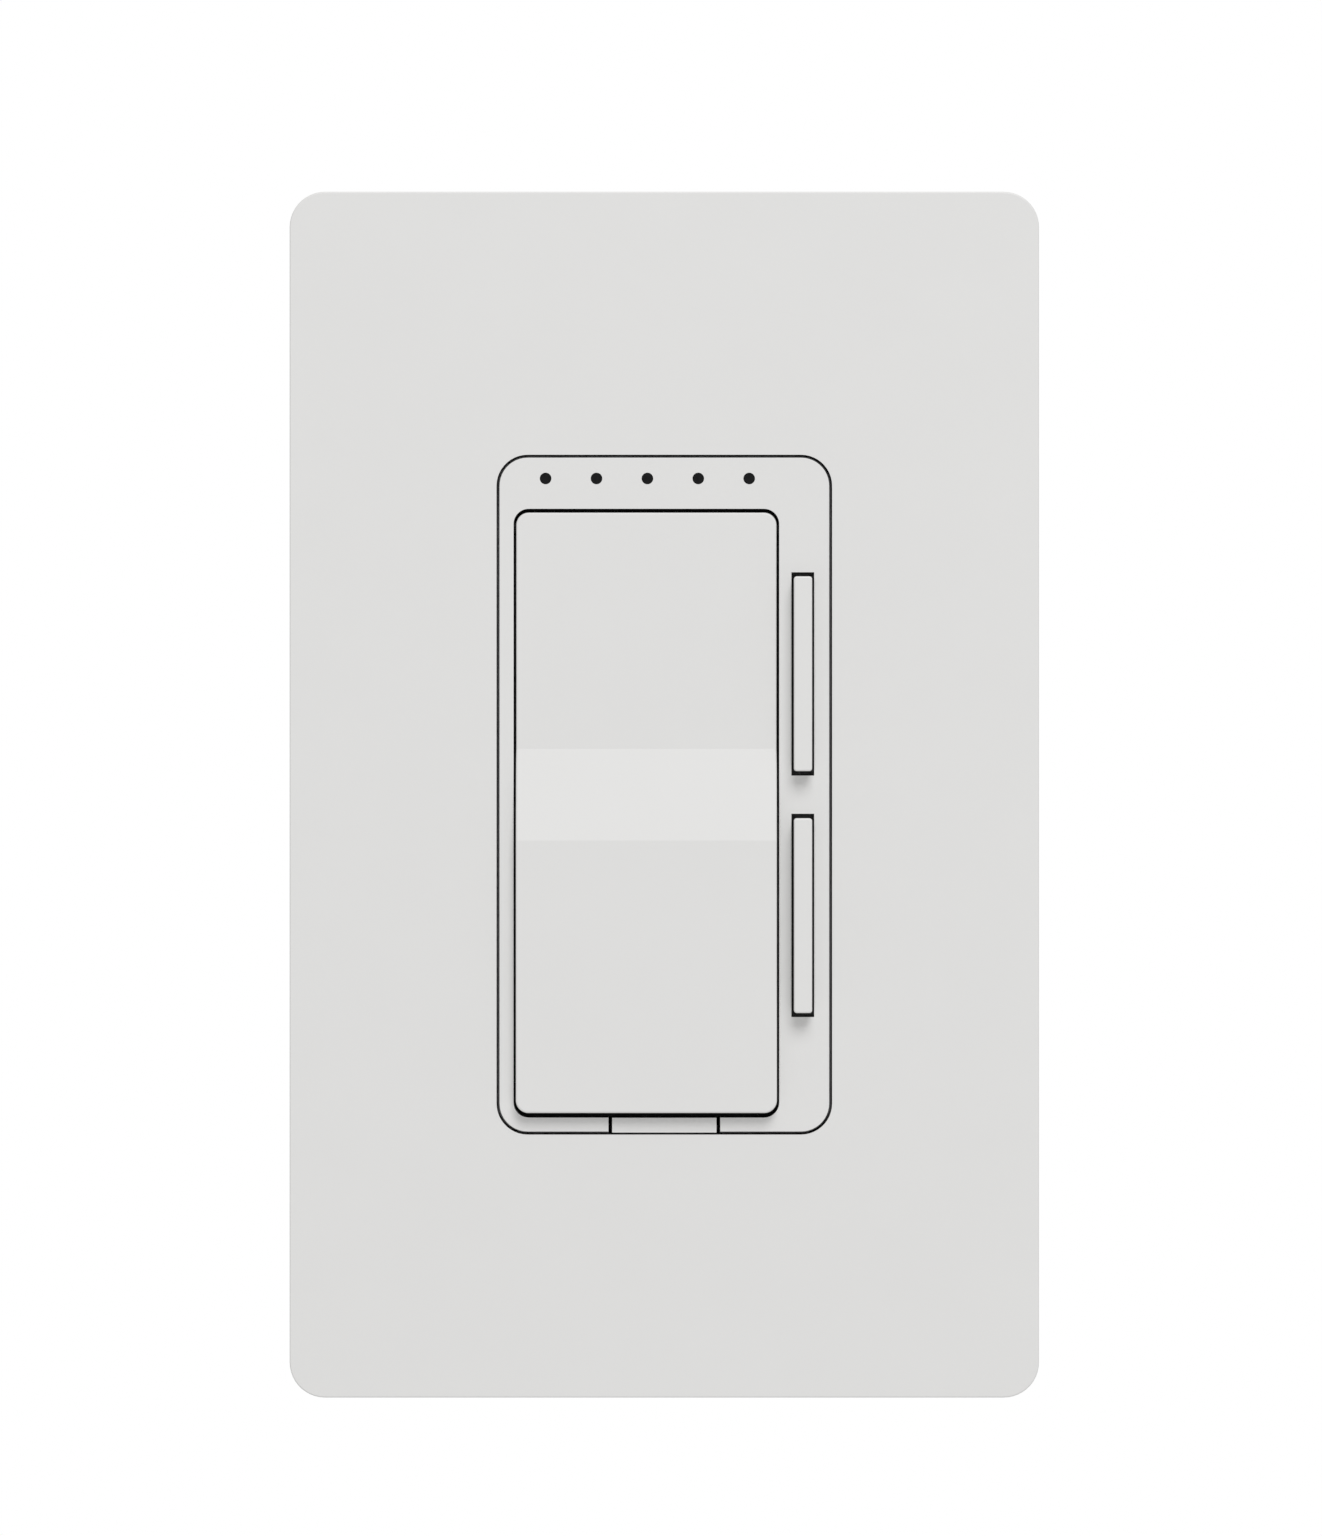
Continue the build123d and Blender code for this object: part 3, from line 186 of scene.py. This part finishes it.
def ramp(material, value, low, high, positions=(0.3, 0.7)):
    """A colour that runs from low to high as the value rises."""
    node = material.node_tree.nodes.new("ShaderNodeValToRGB")
    node.color_ramp.elements[0].position = positions[0]
    node.color_ramp.elements[1].position = positions[1]
    node.color_ramp.elements[0].color = (*low, 1.0)
    node.color_ramp.elements[1].color = (*high, 1.0)
    material.node_tree.links.new(value, node.inputs["Fac"])
    return node.outputs["Color"]


def spread(material, value, low, high):
    """A number between low and high that follows the value."""
    node = material.node_tree.nodes.new("ShaderNodeMapRange")
    node.inputs["From Min"].default_value = 0.25
    node.inputs["From Max"].default_value = 0.75
    node.inputs["To Min"].default_value = low
    node.inputs["To Max"].default_value = high
    material.node_tree.links.new(value, node.inputs["Value"])
    return node.outputs["Result"]


def bump(material, shader, height, distance):
    """Surface relief of a depth in metres."""
    node = material.node_tree.nodes.new("ShaderNodeBump")
    node.inputs["Distance"].default_value = distance
    node.inputs["Strength"].default_value = 1.0
    material.node_tree.links.new(height, node.inputs["Height"])
    material.node_tree.links.new(node.outputs["Normal"], shader.inputs["Normal"])


def tinted(colour, factor):
    """A colour made lighter or darker."""
    return tuple(channel * factor for channel in colour)


def painted_crevice_shade(material, colour):
    """The colour with painted shade: darkened where other surfaces are close, in gaps and crevices where
    shade falls. A look, not a shape.
    """
    nodes = material.node_tree.nodes
    link = material.node_tree.links.new
    near = nodes.new("ShaderNodeAmbientOcclusion")
    near.inputs["Distance"].default_value = PAINTED_SHADE_REACH
    near.samples = PAINTED_SHADE_SAMPLES
    darken = nodes.new("ShaderNodeMix")
    darken.data_type = "RGBA"
    darken.blend_type = "MULTIPLY"
    darken.inputs["Factor"].default_value = 1.0
    link(colour, darken.inputs["A"])
    # painted shade: the occlusion value turns the colour near-black in gaps and crevices
    shade = ramp(material, near.outputs["AO"], PAINTED_SHADE_COLOUR, (1.0, 1.0, 1.0), PAINTED_SHADE_RANGE)
    link(shade, darken.inputs["B"])
    return darken.outputs["Result"]


def plastic(name, colour, roughness, grain, depth, mottle=0.01):
    """Moulded plastic: fine spark texture, slow changes of tone and of gloss, and painted shade darkening its
    colour in crevices.
    """
    material, shader, place = start_material(name, colour, roughness)
    link = material.node_tree.links.new
    tone = ramp(material, noise(material, place, 9 * MM, 2.0),
                tinted(colour, 1 - mottle), tinted(colour, 1 + mottle))
    # painted shade: the tone is darkened where other surfaces are close
    link(painted_crevice_shade(material, tone), shader.inputs["Base Color"])
    link(spread(material, noise(material, place, 2.5 * MM), roughness - 0.04, roughness + 0.04),
         shader.inputs["Roughness"])
    bump(material, shader, cells(material, place, grain), depth)
    shader.inputs["Specular IOR Level"].default_value = 0.4
    return material


def metal(name, colour, roughness, grain_scale, depth=0.002 * MM, stain=0.06):
    """Rolled or plated metal, with grain stretched along one axis."""
    material, shader, place = start_material(name, colour, roughness, 1.0)
    link = material.node_tree.links.new
    grain = noise(material, stretch(material, place, grain_scale), 1.2 * MM, 4.0)
    tone = noise(material, place, 5 * MM)
    link(ramp(material, tone, tinted(colour, 1 - stain), tinted(colour, 1 + stain)),
         shader.inputs["Base Color"])
    link(spread(material, grain, roughness - 0.08, roughness + 0.1), shader.inputs["Roughness"])
    bump(material, shader, grain, depth)
    return material


def smoked_pipe():
    """The light pipe with its lamps off: dark, glossy and a little uneven."""
    colour = (0.008, 0.008, 0.0085)
    material, shader, place = start_material("smoked_pipe", colour, 0.4)
    link = material.node_tree.links.new
    tone = noise(material, place, 0.5 * MM)
    link(ramp(material, tone, tinted(colour, 0.7), tinted(colour, 1.4)), shader.inputs["Base Color"])
    shader.inputs["Specular IOR Level"].default_value = 0.1
    return material


def circuit_board():
    """Green lacquer over fine copper tracks."""
    green = (0.012, 0.085, 0.030)
    material, shader, place = start_material("board", green, 0.35)
    link = material.node_tree.links.new
    tracks = material.node_tree.nodes.new("ShaderNodeTexBrick")
    tracks.inputs["Scale"].default_value = 260.0
    tracks.inputs["Mortar Size"].default_value = 0.055
    tracks.inputs["Color1"].default_value = (*green, 1.0)
    tracks.inputs["Color2"].default_value = (*tinted(green, 1.15), 1.0)
    tracks.inputs["Mortar"].default_value = (0.035, 0.17, 0.055, 1.0)
    flat = stretch(material, place, (1.0, 1.0, 1.0))
    flat.node.inputs["Rotation"].default_value = (math.radians(90), 0, 0)
    link(flat, tracks.inputs["Vector"])
    link(tracks.outputs["Color"], shader.inputs["Base Color"])
    bump(material, shader, tracks.outputs["Fac"], 0.02 * MM)
    shader.inputs["Coat Weight"].default_value = 0.4
    return material


def clear_glass():
    """The tube of the fuse."""
    material, shader, place = start_material("fuse_glass", (0.85, 0.90, 0.90), 0.08)
    shader.inputs["Transmission Weight"].default_value = 0.85
    streaks = noise(material, stretch(material, place, (0.2, 1.0, 1.0)), 1.0 * MM)
    roughness = spread(material, streaks, 0.04, 0.14)
    material.node_tree.links.new(roughness, shader.inputs["Roughness"])
    return material


def fibre():
    """Pressed fibre with short dark strands."""
    colour = (0.16, 0.06, 0.03)
    material, shader, place = start_material("fibre", colour, 0.8)
    strands = noise(material, stretch(material, place, (1.0, 1.0, 4.0)), 1.2 * MM, 6.0)
    material.node_tree.links.new(ramp(material, strands, tinted(colour, 0.6), tinted(colour, 1.5)),
                                 shader.inputs["Base Color"])
    bump(material, shader, strands, 0.03 * MM)
    return material


WHITE = (0.745, 0.742, 0.733)

materials = {
    "white_plastic": plastic("white_plastic", WHITE, 0.42, 0.22 * MM, 0.0012 * MM, 0.004),
    "frame_plastic": plastic("frame_plastic", (0.66, 0.66, 0.64), 0.5, 0.3 * MM, 0.003 * MM),
    "housing_plastic": plastic("housing_plastic", (0.012, 0.012, 0.014), 0.48, 0.35 * MM, 0.008 * MM, 0.12),
    "strap_metal": metal("strap_metal", (0.66, 0.67, 0.68), 0.36, (1.0, 1.0, 0.05)),
    "zinc_screw": metal("zinc_screw", (0.62, 0.61, 0.56), 0.30, (1.0, 1.0, 1.0), 0.004 * MM, 0.1),
    "white_screw": plastic("white_screw", (0.72, 0.72, 0.71), 0.3, 0.4 * MM, 0.002 * MM),
    "green_screw": metal("green_screw", (0.03, 0.26, 0.08), 0.34, (1.0, 1.0, 1.0), 0.003 * MM, 0.15),
    "brass": metal("brass", (0.72, 0.47, 0.16), 0.32, (1.0, 0.08, 1.0), 0.002 * MM, 0.08),
    "copper": metal("copper", (0.75, 0.30, 0.15), 0.34, (0.1, 1.0, 1.0), 0.002 * MM, 0.12),
    "spring_steel": metal("spring_steel", (0.55, 0.55, 0.56), 0.28, (1.0, 1.0, 1.0)),
    "fibre": fibre(),
    "smoked_pipe": smoked_pipe(),
    "lamp": plastic("lamp", (0.75, 0.76, 0.66), 0.2, 0.5 * MM, 0.002 * MM),
    "board": circuit_board(),
    "black_plastic": plastic("black_plastic", (0.010, 0.010, 0.011), 0.5, 0.2 * MM, 0.006 * MM, 0.1),
    "barrier_film": plastic("barrier_film", (0.62, 0.58, 0.44), 0.35, 1.5 * MM, 0.004 * MM, 0.04),
    "insulator_pad": plastic("insulator_pad", (0.26, 0.28, 0.32), 0.7, 0.25 * MM, 0.01 * MM, 0.05),
    "ferrite": plastic("ferrite", (0.03, 0.035, 0.035), 0.6, 0.3 * MM, 0.02 * MM, 0.2),
    "film_box": plastic("film_box", (0.60, 0.36, 0.02), 0.3, 0.5 * MM, 0.002 * MM),
    "can": plastic("can", (0.012, 0.016, 0.05), 0.25, 0.6 * MM, 0.002 * MM, 0.1),
    "varistor_coat": plastic("varistor_coat", (0.01, 0.03, 0.20), 0.22, 1.2 * MM, 0.02 * MM, 0.1),
    "fuse_glass": clear_glass(),
    "resistor_coat": plastic("resistor_coat", (0.40, 0.27, 0.12), 0.45, 0.4 * MM, 0.006 * MM, 0.06),
}


def dress_nodes():
    """Give every node the material of its slot."""
    for part in frame["record"]["subparts"]:
        node = frame["nodes"][part["node"]]
        node.data.materials.clear()
        node.data.materials.append(materials[part["material_slot"]])


# Small bevels added to the edges of some CAD nodes, by width

EDGE_WIDTHS = {
    "mounting_strap": 0.16 * MM,
    "rear_housing": 0.18 * MM,
    "wallplate_frame": 0.15 * MM,
    "wire_clamps": 0.15 * MM,
    "line_terminal": 0.10 * MM,
    "load_terminal": 0.10 * MM,
    "neutral_terminal": 0.10 * MM,
    "traveler_terminal": 0.10 * MM,
    "screw_retainers": 0.05 * MM,
    "air_gap_slider": 0.10 * MM,
}


def soften_edges():
    """Put small bevels, which the CAD lacks, on the sharp edges of stamped and moulded pieces."""
    for node, width in EDGE_WIDTHS.items():
        bevel = frame["nodes"][node].modifiers.new("edge", "BEVEL")
        bevel.width = width
        bevel.segments = BEVEL_SEGMENTS
        bevel.limit_method = "ANGLE"
        bevel.angle_limit = BEVEL_ANGLE
        bevel.harden_normals = True


# Screws, with real threads

def ring_grid(name, rings):
    """A closed mesh through rings of points, each ring with the same number of points."""
    mesh = bmesh.new()
    rows = [[mesh.verts.new(point) for point in ring] for ring in rings]
    count = len(rows[0])
    for row, following in zip(rows, rows[1:]):
        for i in range(count):
            j = (i + 1) % count
            mesh.faces.new((row[i], row[j], following[j], following[i]))
    mesh.faces.new(list(reversed(rows[0])))
    mesh.faces.new(rows[-1])
    bmesh.ops.recalc_face_normals(mesh, faces=mesh.faces)
    data = bpy.data.meshes.new(name)
    mesh.to_mesh(data)
    mesh.free()
    return data


def ring(radius, height):
    """One level circle of points round Z."""
    return [(radius * math.cos(2 * math.pi * i / ROUND_STEPS),
             radius * math.sin(2 * math.pi * i / ROUND_STEPS), height) for i in range(ROUND_STEPS)]


def thread_rings(radius, start, end, pitch):
    """Rings whose radius rises and falls along a helix, fading out at both ends."""
    rings = []
    count = int((end - start) / pitch * THREAD_STEPS) + 1
    for step in range(count + 1):
        height = start + (end - start) * step / count
        fade = min(1.0, (height - start) / pitch, (end - height) / pitch + THREAD_END_FADE)
        points = []
        for i in range(ROUND_STEPS):
            phase = (height / pitch - i / ROUND_STEPS) % 1.0
            groove = THREAD_DEPTH * fade * abs(2 * phase - 1)
            angle = 2 * math.pi * i / ROUND_STEPS
            points.append(((radius - groove) * math.cos(angle), (radius - groove) * math.sin(angle), height))
        rings.append(points)
    return rings


def head_rings(kind, radius, height):
    """The outline of a screw's head, from its top at minus height to zero."""
    if kind == "countersunk":
        return [ring(radius * RIM_SHARE, -height), ring(radius, -height * SUNK_RIM_HEIGHT),
                ring(radius * SUNK_NECK_SHARE, 0.0)]
    dome = []
    for i in range(1, DOME_LEVELS + 1):
        angle = math.pi / 2 * i / DOME_LEVELS
        dome.append(ring(radius * (DOME_TOP_SHARE + (1 - DOME_TOP_SHARE) * math.sin(angle)),
                         -height + DOME_HEIGHT_SHARE * height * (1 - math.cos(angle))))
    return dome + [ring(radius, -height * DOME_RIM_HEIGHT), ring(radius * RIM_SHARE, 0.0)]


def drive_cutter(kind, radius, height):
    """What cuts the driver recess into a head's top: a bar, or a bar with a cross."""
    cutter = bmesh.new()
    depth = min(DRIVE_DEPTH, height * DRIVE_DEPTH_SHARE)
    blades = [(SLOT_LENGTH_SHARE * radius, SLOT_WIDTH)]
    if kind == "cross":
        arm = CROSS_LENGTH_SHARE * radius
        blades = [(SLOT_LENGTH_SHARE * radius, CROSS_SLOT_WIDTH), (CROSS_WIDTH, arm), (arm, CROSS_WIDTH)]
    for length, width in blades:
        size = Matrix.Diagonal((length, width, 2 * depth, 1.0))
        bmesh.ops.create_cube(cutter, size=1.0, matrix=Matrix.Translation((0, 0, -height)) @ size)
    data = bpy.data.meshes.new("cutter")
    cutter.to_mesh(data)
    cutter.free()
    return bpy.data.objects.new("cutter", data)


def screw_mesh(kind, drive, head, neck, thread):
    """A screw along Z whose seat is at zero; thread is its radius, end and pitch."""
    thread_radius, thread_end, pitch = thread
    rings = head_rings(kind, head.radius, head.height)
    rings += [ring(neck.radius, 0.0), ring(neck.radius, neck.end)]
    rings += thread_rings(thread_radius, neck.end + THREAD_START_GAP, thread_end - TIP_CHAMFER, pitch)
    rings += [ring(thread_radius - TIP_CHAMFER, thread_end)]
    blank = bpy.data.objects.new("screw", ring_grid("screw", rings))
    cutter = drive_cutter(drive, head.radius, head.height)
    for thing in (blank, cutter):
        bpy.context.scene.collection.objects.link(thing)
    cut = blank.modifiers.new("drive", "BOOLEAN")
    cut.operation = "DIFFERENCE"
    cut.solver = "EXACT"
    cut.use_self = drive == "cross"
    cut.object = cutter
    depsgraph = bpy.context.evaluated_depsgraph_get()
    mesh = bpy.data.meshes.new_from_object(blank.evaluated_get(depsgraph))
    for thing in (blank, cutter):
        bpy.data.objects.remove(thing)
    return mesh


def screw_group(name, mesh, places, directions, node, body="device"):
    """One piece holding a screw at each place, each pointing along the direction given for it."""
    group = bmesh.new()
    for place, way in zip(places, directions):
        turned = mesh.copy()
        turned.transform(Matrix.Translation(place) @ Vector(way).to_track_quat("Z", "Y").to_matrix().to_4x4())
        group.from_mesh(turned)
        bpy.data.meshes.remove(turned)
    data = bpy.data.meshes.new(name)
    group.to_mesh(data)
    group.free()
    piece = bpy.data.objects.new(name, data)
    bpy.context.scene.collection.objects.link(piece)
    slot = next(part["material_slot"] for part in frame["record"]["subparts"] if part["node"] == node)
    data.materials.append(materials[slot])
    smooth(piece)
    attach(piece, body)
    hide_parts(node)


def smooth(piece):
    """Smooth shading that keeps sharp edges."""
    for polygon in piece.data.polygons:
        polygon.use_smooth = True
    piece.data.set_sharp_from_angle(angle=SHARP_ANGLE)


def middle(node):
    """The centre of a node's box."""
    low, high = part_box(node)
    return (Vector(low) + Vector(high)) / 2


def add_screws():
    """Replace the plain screws with threaded ones at the same seats, with recesses in their heads."""
    strap_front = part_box("mounting_strap")[0][1]
    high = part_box("box_screws")[1]
    z = high[2] - LARGE_HEAD.radius
    long_screw = screw_mesh("pan", "cross", LARGE_HEAD, BOX_NECK,
                            (THREAD_RADIUS, high[1] - strap_front, THREAD_PITCH))
    screw_group("box_screw_pair", long_screw, [(0, strap_front, z), (0, strap_front, -z)],
                [INTO_WALL] * 2, "box_screws")

    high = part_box("wallplate_screws")[1]
    z = high[2] - LARGE_HEAD.radius
    plate_screw = screw_mesh("countersunk", "slot", PLATE_HEAD, PLATE_NECK,
                             (THREAD_RADIUS, high[1] - strap_front, THREAD_PITCH))
    screw_group("wallplate_screw_pair", plate_screw, [(0, strap_front, z), (0, strap_front, -z)],
                [INTO_WALL] * 2, "wallplate_screws")

    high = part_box("housing_screws")[1]
    x, z = high[0] - SMALL_HEAD.radius, high[2] - SMALL_HEAD.radius
    corners = [(sx * x, strap_front, sz * z) for sx in (-1, 1) for sz in (-1, 1)]
    housing_screw = screw_mesh("pan", "cross", SMALL_HEAD, HOUSING_NECK,
                               (SMALL_THREAD_RADIUS, high[1] - strap_front, SMALL_THREAD_PITCH))
    screw_group("housing_screw_set", housing_screw, corners, [INTO_WALL] * 4, "housing_screws")

    low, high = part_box("terminal_screws")
    seat = high[0] - LARGE_HEAD.height
    y, z = (low[1] + high[1]) / 2, high[2] - LARGE_HEAD.radius
    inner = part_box("neutral_terminal")[0][0] + TERMINAL_TIP_INSET
    terminal_screw = screw_mesh("pan", "slot", LARGE_HEAD, TERMINAL_NECK,
                                (THREAD_RADIUS, seat - inner, THREAD_PITCH))
    places = [(sx * seat, y, sz * z) for sx in (-1, 1) for sz in (-1, 1)]
    screw_group("terminal_screw_set", terminal_screw, places, [(-sx, 0, 0) for sx in (-1, -1, 1, 1)],
                "terminal_screws")

    low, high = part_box("ground_screw")
    seat = low[0] + GROUND_HEAD.height
    ground = screw_mesh("pan", "slot", GROUND_HEAD, GROUND_NECK,
                        (THREAD_RADIUS, high[0] - seat, THREAD_PITCH))
    centre = middle("ground_screw")
    screw_group("ground_screw_threaded", ground, [(seat, centre.y, centre.z)], [(1, 0, 0)], "ground_screw")


# Springs, copied from the CAD

SPRINGS = {
    # node: the joint that presses it, and how much of its length is left at that joint's limit
    "paddle_spring": ("paddle_press", 0.82),
    "dim_up_springs": ("dim_up_press", 0.79),
    "dim_down_springs": ("dim_down_press", 0.79),
}


def add_springs():
    """Replace each spring with a copy that has its own mesh, attached to the device."""
    for node, (joint, left) in SPRINGS.items():
        original = frame["nodes"][node]
        spring = original.copy()
        spring.data = original.data.copy()
        spring.name = f"{node}_soft"
        bpy.context.scene.collection.objects.link(spring)
        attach(spring, "device")
        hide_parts(node)
        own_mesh(spring)


# Stage

def add_camera():
    """Square to the face, far away, as the product is shown."""
    data = bpy.data.cameras.new("camera")
    data.lens = LENS
    data.sensor_width = SENSOR
    camera = bpy.data.objects.new("camera", data)
    distance = FIELD_HEIGHT * LENS / SENSOR
    camera.location = (VIEW_CENTRE[0], flush_face() - distance, VIEW_CENTRE[1])
    camera.rotation_euler = (math.radians(90), 0, 0)
    data.clip_end = CLIP_END
    bpy.context.scene.collection.objects.link(camera)
    bpy.context.scene.camera = camera


def flush_face():
    """The depth of the plate's front face."""
    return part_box("wallplate_cover")[0][1]


def add_key():
    """A large soft light above and a little to the right."""
    data = bpy.data.lights.new("key", "AREA")
    data.shape = "SQUARE"
    data.size = KEY_SIZE
    data.energy = KEY_POWER
    key = bpy.data.objects.new("key", data)
    direction = KEY_DIRECTION.normalized()
    key.location = direction * KEY_DISTANCE
    key.rotation_euler = direction.to_track_quat("Z", "Y").to_euler()
    bpy.context.scene.collection.objects.link(key)


def add_surroundings():
    """White all round to the camera, and a softer even light on the object."""
    world = bpy.data.worlds.new("studio")
    bpy.context.scene.world = world
    world.use_nodes = True
    nodes, link = world.node_tree.nodes, world.node_tree.links.new
    nodes.clear()
    output = nodes.new("ShaderNodeOutputWorld")
    mix = nodes.new("ShaderNodeMixShader")
    path = nodes.new("ShaderNodeLightPath")
    ambient = nodes.new("ShaderNodeBackground")
    backdrop = nodes.new("ShaderNodeBackground")
    ambient.inputs["Color"].default_value = (1.0, 1.0, 1.0, 1.0)
    ambient.inputs["Strength"].default_value = AMBIENT_LEVEL
    backdrop.inputs["Color"].default_value = (1.0, 1.0, 1.0, 1.0)
    backdrop.inputs["Strength"].default_value = BACKDROP_LEVEL
    link(path.outputs["Is Camera Ray"], mix.inputs["Fac"])
    link(ambient.outputs["Background"], mix.inputs[1])
    link(backdrop.outputs["Background"], mix.inputs[2])
    link(mix.outputs["Shader"], output.inputs["Surface"])


def add_floor():
    """A plain pale floor well below the object."""
    level = cad_box[0][2] - FLOOR_DROP
    mesh = bmesh.new()
    bmesh.ops.create_grid(mesh, x_segments=2, y_segments=2, size=FLOOR_REACH,
                          matrix=Matrix.Translation((0, 0, level)))
    data = bpy.data.meshes.new("floor")
    mesh.to_mesh(data)
    mesh.free()
    floor = bpy.data.objects.new("floor", data)
    bpy.context.scene.collection.objects.link(floor)
    material, shader, place = start_material("floor", (0.86, 0.86, 0.86), 0.9)
    tone = noise(material, place, 0.4)
    material.node_tree.links.new(ramp(material, tone, (0.85,) * 3, (0.87,) * 3), shader.inputs["Base Color"])
    data.materials.append(material)


dress_nodes()
soften_edges()
add_screws()
add_springs()
add_camera()
add_key()
add_surroundings()
add_floor()
bpy.context.scene.view_settings.view_transform = "Standard"
